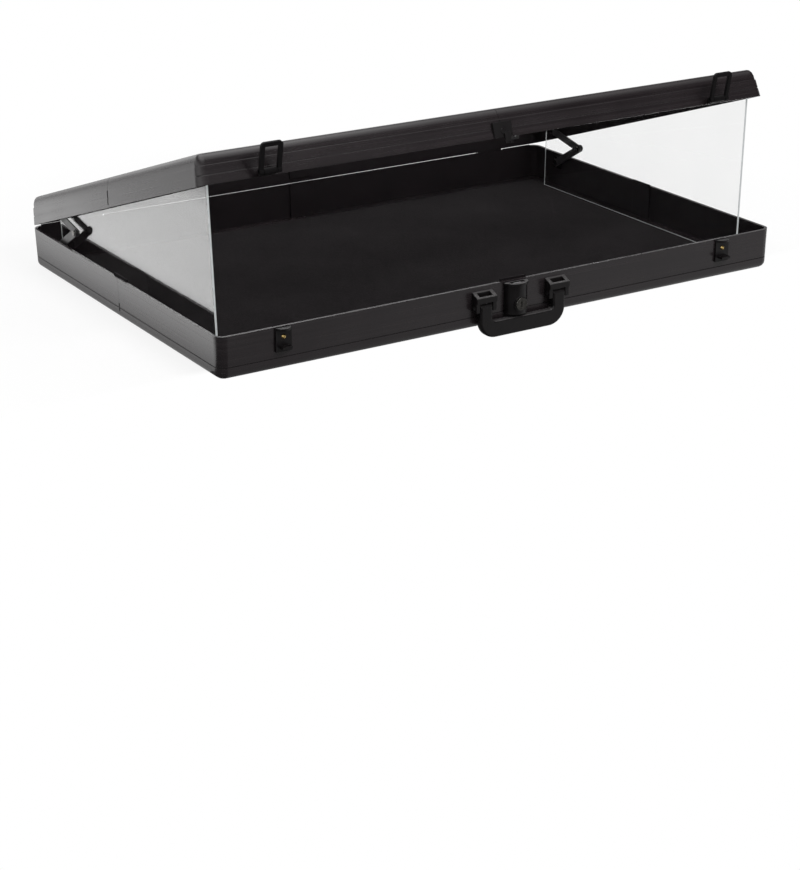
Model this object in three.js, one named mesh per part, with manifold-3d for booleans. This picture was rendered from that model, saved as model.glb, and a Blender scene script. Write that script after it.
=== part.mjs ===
// Card display case: a shallow black tray with a glazed lid that stands propped open on two clear side
// panels. The origin is the centre of the underside, X runs to the right as seen from the handle side,
// -Y points to the handle, +Z is up. Lengths are in millimetres and angles in degrees.
import * as THREE from 'three';
import { mergeVertices } from 'three/addons/utils/BufferGeometryUtils.js';
import Module from 'manifold-3d';

const wasm = await Module();
wasm.setup();

// Whole case
const CASE_WIDTH = 864;
const CASE_DEPTH = 572;
const CORNER_RADIUS = 14;
const INNER_CORNER = 2;
const DISPLAY_ANGLE = 18.4;

// Clearances
const FIT_GAP = 0.3;
const SEAM_GAP = 0.4;
const PIVOT_GAP = 0.3;
const PARTING_GAP = 0.5;
const SIDE_PLAY = 0.5;

// Base walls, four corner mouldings
const BASE_HEIGHT = 56;
const BASE_WALL = 4;
const BASE_DRAFT = 1.5;
const BASE_EDGE_RADIUS = 9;
const BAND_HEIGHT = 15;
const GROOVE_HEIGHT = 1.4;
const GROOVE_DEPTH = 0.9;
const LEDGE_WIDTH = 17;
const LEDGE_THICKNESS = 2;
const REBATE_INSET = 12.5;
const POCKET_INSET = 44;
const POCKET_Z = 17;
const POCKET_WIDTH = 14;
const POCKET_HEIGHT = 9;
const POCKET_DEPTH = 1.8;

// Floor
const BOTTOM_THICKNESS = 3;
const FELT_THICKNESS = 2;

// Lid frame, four corner mouldings
const LID_HEIGHT = 38.5;
const LID_WALL = 4;
const LID_DRAFT = 3;
const LID_CROWN_HEIGHT = 15;
const LID_CROWN_INSET = 9;
const LID_SHOULDER_STEP = 0.8;
const LID_GROOVE_RISE = 12;
const LID_GROOVE_HEIGHT = 1.2;
const LID_GROOVE_DEPTH = 0.6;
const LID_INNER_TOP = 10;
const LID_INNER_RISE = 22;
const FLANGE_WIDTH = 15;
const FLANGE_THICKNESS = 2.6;
const PANE_THICKNESS = 3;

// Seams and joiners in the middle of each side
const SEAM_NOTCH_WIDTH = 2.6;
const SEAM_NOTCH_DEPTH = 1.2;
const BASE_NOTCH_LOW = 11;
const BASE_NOTCH_HIGH = 22;
const LID_NOTCH_LOW = 4;
const LID_NOTCH_HIGH = 22;
const JOINER_WIDTH = 40;
const JOINER_THICKNESS = 2.5;
const JOINER_TONGUE = 2.5;
const LID_JOINER_LOW = 6;
const PANE_TAB_WIDTH = 14;
const PANE_TAB_REACH = 22;
const PANE_TAB_THICKNESS = 2;

// Side panels
const PANEL_INSET = 23;
const PANEL_LEAN = 1.5;
const PANEL_THICKNESS = 3;
const PANEL_FRONT_INSET = 46;
const PANEL_REAR_INSET = 59;
const PANEL_CORNER_CUT = 18;
const PANEL_CHAMFER = 0.5;
const PANEL_FOOT_GAP = 0.5;
const PANEL_LID_GAP = 0.5;

// Hinges
const HARDWARE_INSET = 89;
const HINGE_WIDTH = 44;
const HINGE_AXIS_OUT = 2.4;
const KNUCKLE_RADIUS = 3.2;
const KNUCKLE_WIDTH = 12;
const KNUCKLE_CLEAR = 0.8;
const HINGE_PIN_RADIUS = 1.4;
const LEAF_THICKNESS = 2.5;
const BASE_LEAF_HEIGHT = 16.5;
const LID_LEAF_HEIGHT = 9;
const RIB_RADIUS = 1.2;
const RIB_EDGE = 2.2;

// Brass rivets of the hinges and catches
const RIVET_HEAD_RADIUS = 3.4;
const RIVET_HEAD_HEIGHT = 1.6;
const RIVET_SHANK_RADIUS = 1.6;
const RIVET_TAIL_RADIUS = 2.8;
const RIVET_TAIL_HEIGHT = 1;

// Latches: bracket and bail on the lid, catch on the base
const LATCH_PIVOT_OUT = 11;
const LATCH_PIVOT_RISE = 5;
const LATCH_BRACKET_WIDTH = 18;
const LATCH_BOSS_RADIUS = 4;
const TRUNNION_RADIUS = 2.2;
const TRUNNION_LENGTH = 5;
const BAIL_WIDTH = 30;
const BAIL_LEG = 5.5;
const BAIL_BAR = 5.5;
const BAIL_REACH = 38;
const BAIL_THICKNESS = 4;
const BAIL_CORNER = 5;
const BAIL_LEAN = 30;
const CATCH_WIDTH = 22;
const CATCH_PLATE = 2.5;
const CATCH_LOW = 24;
const CATCH_TOP_GAP = 1;
const CATCH_TAB_DEPTH = 10;
const CATCH_TAB_HEIGHT = 3;
const CATCH_NOSE_WIDTH = 14;
const CATCH_NOSE_DEPTH = 12;
const CATCH_NOSE_HEIGHT = 3;
const CATCH_RIVET_GAP = 7.5;

// Carrying handle and its two brackets
const HANDLE_CENTRE = 6;
const HANDLE_SPREAD = 57;
const HANDLE_LEG_WIDTH = 19;
const HANDLE_LEG_DEPTH = 11;
const HANDLE_WALL_GAP = 1;
const HANDLE_PIVOT_OUT = 6;
const HANDLE_PIVOT_Z = 30;
const HANDLE_HEAD_RADIUS = 5;
const HANDLE_DROP = 43;
const HANDLE_GRIP_HEIGHT = 22;
const HANDLE_OUTER_RADIUS = 24;
const HANDLE_INNER_RADIUS = 5;
const HANDLE_EDGE = 3;
const HANDLE_PIN_RADIUS = 2;
const BRACKET_CHEEK = 5.5;
const BRACKET_BAR = 3;
const BRACKET_DEPTH = 13;
const BRACKET_TOP_Z = 50;
const BRACKET_FALL = 6;
const BRACKET_LUG_DEPTH = 11;
const BRACKET_LUG_DROP = 6;

// Key lock
const LOCK_HALF_WIDTH = 17;
const LOCK_DEPTH = 15;
const LOCK_GRIP_GAP = 3.5;
const LOCK_TOP_GAP = 1.5;
const LOCK_FLANGE_MARGIN = 1;
const LOCK_FLANGE_HEIGHT = 3;
const LOCK_AXIS_DROP = 29;
const LOCK_COLLAR_RADIUS = 10;
const LOCK_SLOT_START = 3;
const LOCK_SLOT_DEPTH = 5.4;
const LOCK_SLOT_HALF = 11;
const LOCK_SLOT_BELOW = 5;
const CYLINDER_RADIUS = 6.5;
const BEZEL_RADIUS = 8.5;
const BEZEL_HEIGHT = 1.4;
const KEYHOLE_WIDTH = 1.6;
const KEYHOLE_HEIGHT = 8;
const KEYHOLE_DEPTH = 3.5;
const DRIVE_THROW = 4;
const DRIVE_ANGLE = 135;
const DRIVE_PIN_RADIUS = 1.5;
const DRIVE_PLAY = 0.5;
const BOLT_LEFT = -7.3;
const BOLT_THICKNESS = 2;
const BOLT_TAIL_WIDTH = 8.5;
const BOLT_TAIL_HEIGHT = 10;
const BOLT_TAIL_DROP = 1;
const BOLT_NECK_WIDTH = 5.3;
const BOLT_HEAD_WIDTH = 11.8;
const BOLT_HEAD_HEIGHT = 3;
const BOLT_TOP_GAP = 0.5;
const STRIKE_WIDTH = 28;
const STRIKE_PLATE = 2.2;
const STRIKE_PLATE_HEIGHT = 20;
const STRIKE_BOSS_RADIUS = 4;
const STRIKE_BOSS_HEIGHT = 1;
const STRIKE_BOSS_RISE = 8;
const STRIKE_THICKNESS = 1.4;
const STRIKE_DROP = 8;
const STRIKE_TONGUE_WIDTH = 9;
const STRIKE_ROOT_HEIGHT = 6;
const STRIKE_LIP_WIDTH = 3.8;
const STRIKE_LIP_HEIGHT = 2;

// Folding stays: hinge axis, base pivot, elbow and lid pivot form a parallelogram
const STAY_LINK_LENGTH = 73.6;
const STAY_PIVOT_ANGLE = 11.5;
const STAY_LINK_WIDTH = 11;
const STAY_LINK_THICKNESS = 2.2;
const STAY_WALL_OFFSET = 3.4;
const STAY_LINK_SPACING = 3.4;
const STAY_STUD_RADIUS = 2.5;
const STAY_HEAD_RADIUS = 4.5;
const STAY_HEAD_HEIGHT = 1.2;
const STAY_PLATE_SIZE = 18;
const STAY_PLATE_THICKNESS = 1.6;
const ELBOW_SHANK_RADIUS = 2;
const ELBOW_HEAD_RADIUS = 4;

// Lid screws and the clips that they hold
const SCREW_INSET = 44;
const SCREW_RISE = 17;
const SCREW_HEAD_RADIUS = 3.5;
const SCREW_HEAD_HEIGHT = 2.2;
const SCREW_SHANK_RADIUS = 1.8;
const SCREW_LENGTH = 11;
const SCREW_SLOT_WIDTH = 1.2;
const SCREW_SLOT_DEPTH = 1;
const CLIP_WIDTH = 16;
const CLIP_THICKNESS = 2;
const CLIP_LOW = 11;
const CLIP_REACH = 20;

// Facets
const CORNER_STEPS = 3;
const EDGE_STEPS = 4;
const ROUND_STEPS = 16;

// Spare length of a cutting solid past the piece that it cuts
const OVERCUT = 5;

const RIGHT = CASE_WIDTH / 2;
const REAR = CASE_DEPTH / 2;
const FRONT = -REAR;
const LID_BOTTOM = BASE_HEIGHT + PARTING_GAP;
const LID_TOP = LID_BOTTOM + LID_HEIGHT;
const FLANGE_UNDER = LID_TOP - FLANGE_THICKNESS;
const PANE_UNDER = FLANGE_UNDER - FIT_GAP - PANE_THICKNESS;
const LEDGE_TOP = BOTTOM_THICKNESS + FIT_GAP + LEDGE_THICKNESS;
const HINGE_Y = REAR + HINGE_AXIS_OUT;
const HINGE_Z = BASE_HEIGHT + PARTING_GAP / 2;
const HARDWARE_X = RIGHT - HARDWARE_INSET;
const radians = (angle) => THREE.MathUtils.degToRad(angle);

const toSolid = (geometry) => {
  geometry.deleteAttribute('normal');
  geometry.deleteAttribute('uv');
  const welded = mergeVertices(geometry);
  const mesh = new wasm.Mesh({
    numProp: 3,
    vertProperties: new Float32Array(welded.attributes.position.array),
    triVerts: new Uint32Array(welded.index.array),
  });
  return new wasm.Manifold(mesh);
};

const toGeometry = (solid) => {
  const mesh = solid.getMesh();
  const geometry = new THREE.BufferGeometry();
  geometry.setAttribute('position', new THREE.BufferAttribute(mesh.vertProperties, mesh.numProp));
  geometry.setIndex(new THREE.BufferAttribute(mesh.triVerts, 1));
  geometry.computeVertexNormals();
  return geometry;
};

const span = (side, near, far) => (side > 0 ? [near, far] : [-far, -near]);
const around = (centre, size) => [centre - size / 2, centre + size / 2];

const box = (x, y, z) => {
  const geometry = new THREE.BoxGeometry(x[1] - x[0], y[1] - y[0], z[1] - z[0]);
  geometry.translate((x[0] + x[1]) / 2, (y[0] + y[1]) / 2, (z[0] + z[1]) / 2);
  return toSolid(geometry);
};

// A round rod along X, Y or Z: its two ends on that axis, and its place on the other two in order
const rod = (axis, radius, ends, first, second, endRadius = radius) => {
  const geometry = new THREE.CylinderGeometry(endRadius, radius, ends[1] - ends[0], ROUND_STEPS);
  const middle = (ends[0] + ends[1]) / 2;
  if (axis === 'x') {
    geometry.rotateZ(-Math.PI / 2);
    geometry.translate(middle, first, second);
  } else if (axis === 'y') {
    geometry.translate(first, middle, second);
  } else {
    geometry.rotateX(Math.PI / 2);
    geometry.translate(first, second, middle);
  }
  return toSolid(geometry);
};

const polygon = (points) => new THREE.Shape(points.map(([a, b]) => new THREE.Vector2(a, b)));

// Shape in Y and Z, drawn out along X
const alongX = (shape, x) => {
  const geometry = new THREE.ExtrudeGeometry(shape, {
    depth: x[1] - x[0],
    bevelEnabled: false,
    curveSegments: CORNER_STEPS * 2,
  });
  geometry.applyMatrix4(new THREE.Matrix4().makeBasis(
    new THREE.Vector3(0, 1, 0),
    new THREE.Vector3(0, 0, 1),
    new THREE.Vector3(1, 0, 0),
  ));
  geometry.translate(x[0], 0, 0);
  return toSolid(geometry);
};

// Shape in X and Y, drawn out along Z
const alongZ = (shape, z) => {
  const geometry = new THREE.ExtrudeGeometry(shape, {
    depth: z[1] - z[0],
    bevelEnabled: false,
    curveSegments: CORNER_STEPS * 2,
  });
  geometry.translate(0, 0, z[0]);
  return toSolid(geometry);
};

// Shape in X and Z, drawn out along Y
const alongY = (shape, y, options = {}) => {
  const geometry = new THREE.ExtrudeGeometry(shape, {
    depth: y[1] - y[0],
    bevelEnabled: false,
    curveSegments: CORNER_STEPS * 2,
    ...options,
  });
  geometry.rotateX(Math.PI / 2);
  geometry.translate(0, y[1], 0);
  return toSolid(geometry);
};

// Plan of the case, drawn in from its widest outline
const outline = (inset) => {
  const x = RIGHT - inset;
  const y = REAR - inset;
  const r = Math.max(CORNER_RADIUS - inset, INNER_CORNER);
  const shape = new THREE.Shape();
  shape.absarc(x - r, r - y, r, -Math.PI / 2, 0);
  shape.absarc(x - r, y - r, r, 0, Math.PI / 2);
  shape.absarc(r - x, y - r, r, Math.PI / 2, Math.PI);
  shape.absarc(r - x, r - y, r, Math.PI, Math.PI * 1.5);
  return shape;
};

const layer = (z) => box([-CASE_WIDTH, CASE_WIDTH], [-CASE_DEPTH, CASE_DEPTH], z);

const slab = (inset, z) => {
  const geometry = new THREE.ExtrudeGeometry(outline(inset), {
    depth: z[1] - z[0],
    bevelEnabled: false,
    curveSegments: CORNER_STEPS,
  });
  geometry.translate(0, 0, z[0]);
  return toSolid(geometry);
};

// A layer of the case whose outline changes over its height, straight or as a quarter round
const taper = (z, low, high, steps) => {
  const rise = z[1] - z[0];
  const geometry = new THREE.ExtrudeGeometry(outline(Math.max(low, high)), {
    depth: rise,
    bevelEnabled: true,
    bevelThickness: rise,
    bevelSize: Math.abs(low - high),
    bevelSegments: steps,
    curveSegments: CORNER_STEPS,
  });
  geometry.translate(0, 0, low > high ? z[1] : z[0] - rise);
  return toSolid(geometry).intersect(layer(z));
};

const sides = [['left', -1], ['right', 1]];

// Room for the hinge knuckles in the rear edges of the base and the lid
const knuckleSpace = (side) => {
  const x = around(side * HARDWARE_X, HINGE_WIDTH + 2 * SIDE_PLAY);
  return rod('x', KNUCKLE_RADIUS + KNUCKLE_CLEAR, x, HINGE_Y, HINGE_Z);
};
const knuckleRoom = knuckleSpace(-1).add(knuckleSpace(1));

// Heights of the hinge leaves, the latches and their rivets
const leafTop = HINGE_Z - KNUCKLE_RADIUS - KNUCKLE_CLEAR;
const hingeRivetZ = leafTop - BASE_LEAF_HEIGHT / 2;
const latchZ = LID_BOTTOM + LATCH_PIVOT_RISE;
const noseUnder = latchZ - BAIL_REACH + BAIL_BAR + FIT_GAP;
const noseTop = noseUnder + CATCH_NOSE_HEIGHT;
const catchRivetZ = noseTop + CATCH_RIVET_GAP + RIVET_HEAD_RADIUS;

// Base shell
const edgeInset = BASE_DRAFT * (1 - BASE_EDGE_RADIUS / BASE_HEIGHT);
const baseOuter = (gap) => {
  const wall = taper([BASE_EDGE_RADIUS, BASE_HEIGHT], edgeInset - gap, -gap, 1);
  const foot = taper([0, BASE_EDGE_RADIUS], edgeInset + BASE_EDGE_RADIUS - gap, edgeInset - gap, EDGE_STEPS);
  return wall.add(foot);
};
const baseBody = baseOuter(0);
const baseClear = baseOuter(FIT_GAP);

const sidesBox = (reach, halfAcross, z) => {
  const acrossX = box([-halfAcross, halfAcross], [-REAR - OVERCUT, REAR + OVERCUT], z);
  const acrossY = box([-RIGHT - OVERCUT, RIGHT + OVERCUT], [-halfAcross, halfAcross], z);
  return acrossX.add(acrossY).subtract(slab(reach, [z[0] - OVERCUT, z[1] + OVERCUT]));
};

let baseShell = baseBody
  .subtract(slab(BASE_WALL, [LEDGE_TOP, BASE_HEIGHT + OVERCUT]))
  .subtract(slab(LEDGE_WIDTH, [-OVERCUT, BASE_HEIGHT]))
  .subtract(slab(REBATE_INSET, [-OVERCUT, BOTTOM_THICKNESS + FIT_GAP]));
const grooveZ = [BAND_HEIGHT, BAND_HEIGHT + GROOVE_HEIGHT];
baseShell = baseShell
  .subtract(slab(-OVERCUT, grooveZ).subtract(slab(edgeInset + GROOVE_DEPTH, grooveZ)))
  .subtract(knuckleRoom)
  .subtract(sidesBox(edgeInset + SEAM_NOTCH_DEPTH, SEAM_NOTCH_WIDTH / 2, [BASE_NOTCH_LOW, BASE_NOTCH_HIGH]));
for (const side of [-1, 1]) {
  const pocketY = [REAR - BASE_DRAFT - POCKET_DEPTH, REAR + OVERCUT];
  const pocketX = around(side * (RIGHT - POCKET_INSET), POCKET_WIDTH);
  const rivetHole = RIVET_SHANK_RADIUS + PIVOT_GAP;
  baseShell = baseShell
    .subtract(box(pocketX, pocketY, around(POCKET_Z, POCKET_HEIGHT)))
    .subtract(rod('y', rivetHole, [0, REAR + OVERCUT], side * HARDWARE_X, hingeRivetZ))
    .subtract(rod('y', rivetHole, [FRONT - OVERCUT, 0], side * HARDWARE_X, catchRivetZ));
}

// Lid shell, drawn shut and turned to its display angle at the end
const shoulderZ = LID_TOP - LID_CROWN_HEIGHT;
const crownInset = LID_DRAFT + LID_SHOULDER_STEP;
const lidOuter = (gap) => {
  const wall = taper([LID_BOTTOM, shoulderZ], -gap, LID_DRAFT - gap, 1);
  const crown = taper([shoulderZ, LID_TOP], crownInset - gap, crownInset + LID_CROWN_INSET - gap, EDGE_STEPS);
  return wall.add(crown);
};
const lidBody = lidOuter(0);
const lidClear = lidOuter(FIT_GAP);
const lidHollow = (gap) => {
  const low = [LID_BOTTOM, LID_BOTTOM + LID_INNER_RISE];
  const slope = taper(low, LID_WALL + gap, LID_INNER_TOP + gap, 1);
  const rest = slab(LID_INNER_TOP + gap, [low[1] - FIT_GAP, FLANGE_UNDER]);
  return slope.add(rest);
};
const lidNotchZ = [LID_BOTTOM + LID_NOTCH_LOW, LID_BOTTOM + LID_NOTCH_HIGH];
const lidNotchReach = LID_DRAFT + SEAM_NOTCH_DEPTH;
const lidGrooveInset = LID_DRAFT * LID_GROOVE_RISE / (LID_HEIGHT - LID_CROWN_HEIGHT);
const lidGrooveZ = around(LID_BOTTOM + LID_GROOVE_RISE, LID_GROOVE_HEIGHT);
const lidRoom = slab(LID_WALL, [LID_BOTTOM - OVERCUT, LID_BOTTOM]);
let lidShell = lidBody
  .subtract(lidHollow(0).add(lidRoom))
  .subtract(slab(FLANGE_WIDTH, [LID_BOTTOM, LID_TOP + OVERCUT]))
  .subtract(sidesBox(lidNotchReach, SEAM_NOTCH_WIDTH / 2, lidNotchZ))
  .subtract(slab(-OVERCUT, lidGrooveZ).subtract(slab(lidGrooveInset + LID_GROOVE_DEPTH, lidGrooveZ)))
  .subtract(knuckleRoom);
const screwX = RIGHT - SCREW_INSET;
const screwZ = LID_BOTTOM + SCREW_RISE;
for (const side of [-1, 1]) {
  const hole = rod('y', SCREW_SHANK_RADIUS + PIVOT_GAP, [0, REAR + OVERCUT], side * screwX, screwZ);
  lidShell = lidShell.subtract(hole);
}

const quarter = (shell, sideX, sideY) => {
  const x = span(sideX, SEAM_GAP / 2, CASE_WIDTH);
  const y = span(sideY, SEAM_GAP / 2, CASE_DEPTH);
  return shell.intersect(box(x, y, [-OVERCUT, LID_TOP + OVERCUT]));
};

const pieces = [];
const black = { color: 0x1d1c1d, roughness: 0.5, metalness: 0 };
const blackGloss = { color: 0x151415, roughness: 0.35, metalness: 0 };
const felt = { color: 0x17141a, roughness: 0.95, metalness: 0 };
const clear = { color: 0xe4eaee, roughness: 0.08, metalness: 0, transparent: true, opacity: 0.22 };
const brass = { color: 0xc9a961, roughness: 0.3, metalness: 0.9 };
const steel = { color: 0x9a9b9d, roughness: 0.35, metalness: 0.9 };

const turn = (solid, y, z, angle) => {
  const geometry = toGeometry(solid);
  geometry.translate(0, -y, -z);
  geometry.rotateX(radians(angle));
  geometry.translate(0, y, z);
  return geometry;
};
const onBase = (name, solid, look) => pieces.push({ name, geometry: toGeometry(solid), look });
const onLid = (name, solid, look) => {
  pieces.push({ name, geometry: turn(solid, HINGE_Y, HINGE_Z, -DISPLAY_ANGLE), look });
};

const ends = [['front', -1], ['rear', 1]];
for (const [end, sideY] of ends) {
  for (const [name, sideX] of sides) {
    onBase(`base_corner_${end}_${name}`, quarter(baseShell, sideX, sideY), black);
    onLid(`lid_corner_${end}_${name}`, quarter(lidShell, sideX, sideY), black);
  }
}

// Floor: a bottom panel in the rebate under the ledge, and the felt on it
onBase('bottom_panel', slab(REBATE_INSET + FIT_GAP, [0, BOTTOM_THICKNESS]), black);
const feltZ = [BOTTOM_THICKNESS + FIT_GAP, BOTTOM_THICKNESS + FIT_GAP + FELT_THICKNESS];
onBase('felt_lining', slab(LEDGE_WIDTH + FIT_GAP, feltZ), felt);

// Pane under the lid flange
onLid('lid_pane', slab(LID_INNER_TOP + FIT_GAP, [PANE_UNDER, PANE_UNDER + PANE_THICKNESS]), clear);

// Joiners inside the middle of each side, and the tabs that carry the pane
const nearSide = {
  front: (width, z) => box([-width / 2, width / 2], [FRONT, 0], z),
  rear: (width, z) => box([-width / 2, width / 2], [0, REAR], z),
  left: (width, z) => box([-RIGHT, 0], [-width / 2, width / 2], z),
  right: (width, z) => box([0, RIGHT], [-width / 2, width / 2], z),
};
const baseJoinerZ = [LEDGE_TOP + FIT_GAP, BASE_HEIGHT + JOINER_TONGUE];
const baseJoinerRing = slab(BASE_WALL + FIT_GAP, baseJoinerZ)
  .subtract(slab(BASE_WALL + FIT_GAP + JOINER_THICKNESS, baseJoinerZ));
const tabTop = PANE_UNDER - FIT_GAP;
const tabZ = [tabTop - PANE_TAB_THICKNESS, tabTop];
const lidJoinerZ = [LID_BOTTOM + LID_JOINER_LOW, tabTop];
const lidJoinerRing = lidHollow(FIT_GAP).subtract(lidHollow(FIT_GAP + JOINER_THICKNESS));
const lidTabRing = slab(LID_INNER_TOP + FIT_GAP, tabZ).subtract(slab(PANE_TAB_REACH, tabZ));
for (const name of ['front', 'rear', 'left', 'right']) {
  const cut = nearSide[name];
  onBase(`base_joiner_${name}`, baseJoinerRing.intersect(cut(JOINER_WIDTH, baseJoinerZ)), black);
  const plate = lidJoinerRing.intersect(cut(JOINER_WIDTH, lidJoinerZ));
  onLid(`lid_joiner_${name}`, plate.add(lidTabRing.intersect(cut(PANE_TAB_WIDTH, tabZ))), black);
}

// Side panels, leaning outwards a little, whose sloping tops carry the lid by the tabs under its pane,
// with the front top corner cut off to clear the lid's front
const panelFoot = feltZ[1] + PANEL_FOOT_GAP;
const lidSlope = Math.tan(radians(DISPLAY_ANGLE));
const tabUnderAt = (y) => {
  const rise = (tabZ[0] - PANEL_LID_GAP - HINGE_Z) / Math.cos(radians(DISPLAY_ANGLE));
  return HINGE_Z + (HINGE_Y - y) * lidSlope + rise;
};
const panelFront = FRONT + PANEL_FRONT_INSET;
const panelRear = REAR - PANEL_REAR_INSET;
const panelCentre = RIGHT - PANEL_INSET;
const panelPivotZ = panelFoot + PANEL_THICKNESS / 2;
const leaning = (solid, side) => solid
  .translate([-side * panelCentre, 0, -panelPivotZ])
  .rotate([0, side * PANEL_LEAN, 0])
  .translate([side * panelCentre, 0, panelPivotZ]);
for (const [name, side] of sides) {
  const face = polygon([
    [panelFront, panelFoot],
    [panelRear, panelFoot],
    [panelRear, tabUnderAt(panelRear)],
    [panelFront + PANEL_CORNER_CUT, tabUnderAt(panelFront + PANEL_CORNER_CUT)],
    [panelFront, tabUnderAt(panelFront) - PANEL_CORNER_CUT],
  ]);
  const blank = alongX(face, around(side * panelCentre, PANEL_THICKNESS));
  const half = PANEL_THICKNESS / 2;
  const tall = tabUnderAt(panelFront) + OVERCUT;
  const edges = new THREE.Shape();
  edges.moveTo(side * panelCentre - half + PANEL_CHAMFER, panelFoot);
  edges.lineTo(side * panelCentre + half - PANEL_CHAMFER, panelFoot);
  edges.lineTo(side * panelCentre + half, panelFoot + PANEL_CHAMFER);
  edges.lineTo(side * panelCentre + half, tall);
  edges.lineTo(side * panelCentre - half, tall);
  edges.lineTo(side * panelCentre - half, panelFoot + PANEL_CHAMFER);
  const panel = blank.intersect(alongY(edges, [FRONT, REAR]));
  onBase(`side_panel_${name}`, leaning(panel, side), clear);
}

// Hinges: ribbed leaves on the rear faces, knuckles and a pin on the turning axis
const leafFoot = HINGE_Z + KNUCKLE_RADIUS + KNUCKLE_CLEAR;
const leafY = [REAR - OVERCUT, REAR + FIT_GAP + LEAF_THICKNESS];
const innerKnuckle = HINGE_WIDTH / 2 - KNUCKLE_WIDTH;
const pinHole = HINGE_PIN_RADIUS + PIVOT_GAP;
for (const [name, side] of sides) {
  const centre = side * HARDWARE_X;
  const wide = around(centre, HINGE_WIDTH);
  const rib = (z) => rod('x', RIB_RADIUS, wide, leafY[1], z);
  const bore = rod('x', pinHole, [wide[0] - OVERCUT, wide[1] + OVERCUT], HINGE_Y, HINGE_Z);

  const baseZ = [leafTop - BASE_LEAF_HEIGHT, leafTop];
  let baseLeaf = box(wide, leafY, baseZ).add(rib(baseZ[0] + RIB_EDGE)).add(rib(baseZ[1] - RIB_EDGE));
  for (const end of [-1, 1]) {
    const reach = span(end, innerKnuckle, HINGE_WIDTH / 2);
    const x = [centre + reach[0], centre + reach[1]];
    const web = box(x, [REAR + FIT_GAP, HINGE_Y], [leafTop - LEAF_THICKNESS, HINGE_Z]);
    baseLeaf = baseLeaf.add(web).add(rod('x', KNUCKLE_RADIUS, x, HINGE_Y, HINGE_Z));
  }
  const baseHole = rod('y', RIVET_SHANK_RADIUS + PIVOT_GAP, [0, REAR + CASE_DEPTH], centre, hingeRivetZ);
  const baseKeepOut = baseClear.add(slab(-FIT_GAP, [BASE_HEIGHT - FIT_GAP, HINGE_Z])).subtract(knuckleRoom);
  baseLeaf = baseLeaf.subtract(baseKeepOut).subtract(bore).subtract(baseHole);
  onBase(`hinge_base_leaf_${name}`, baseLeaf, blackGloss);

  const lidZ = [leafFoot, leafFoot + LID_LEAF_HEIGHT];
  const lidX = around(centre, 2 * (innerKnuckle - SIDE_PLAY));
  const lidWeb = box(lidX, [REAR + FIT_GAP, HINGE_Y], [HINGE_Z, leafFoot + LEAF_THICKNESS]);
  const lidLeaf = box(wide, leafY, lidZ)
    .add(rib(lidZ[1] - RIB_EDGE))
    .add(lidWeb)
    .add(rod('x', KNUCKLE_RADIUS, lidX, HINGE_Y, HINGE_Z));
  const lidKeepOut = lidClear.add(slab(-FIT_GAP, [HINGE_Z, LID_BOTTOM + FIT_GAP])).subtract(knuckleRoom);
  onLid(`hinge_lid_leaf_${name}`, lidLeaf.subtract(lidKeepOut).subtract(bore), blackGloss);

  onBase(`hinge_pin_${name}`, rod('x', HINGE_PIN_RADIUS, wide, HINGE_Y, HINGE_Z), steel);
}

// Rivets through the walls: facing is -1 at the front and 1 at the rear, proud is the face under the head
const rivet = (x, z, facing, proud) => {
  const wallInside = REAR - BASE_WALL - FIT_GAP;
  const along = (a, b) => span(facing, Math.min(a, b), Math.max(a, b));
  const headTip = RIVET_HEAD_RADIUS / 2;
  const radii = facing > 0 ? [RIVET_HEAD_RADIUS, headTip] : [headTip, RIVET_HEAD_RADIUS];
  const head = rod('y', radii[0], along(proud, proud + RIVET_HEAD_HEIGHT), x, z, radii[1]);
  const shank = rod('y', RIVET_SHANK_RADIUS, along(wallInside, proud), x, z);
  const tail = rod('y', RIVET_TAIL_RADIUS, along(wallInside - RIVET_TAIL_HEIGHT, wallInside), x, z);
  return head.add(shank).add(tail);
};
for (const [name, side] of sides) {
  onBase(`hinge_rivet_${name}`, rivet(side * HARDWARE_X, hingeRivetZ, 1, leafY[1] + FIT_GAP), brass);
  const plateFront = REAR + CATCH_PLATE + FIT_GAP;
  onBase(`catch_rivet_${name}`, rivet(side * HARDWARE_X, catchRivetZ, -1, plateFront), brass);
}

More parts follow.
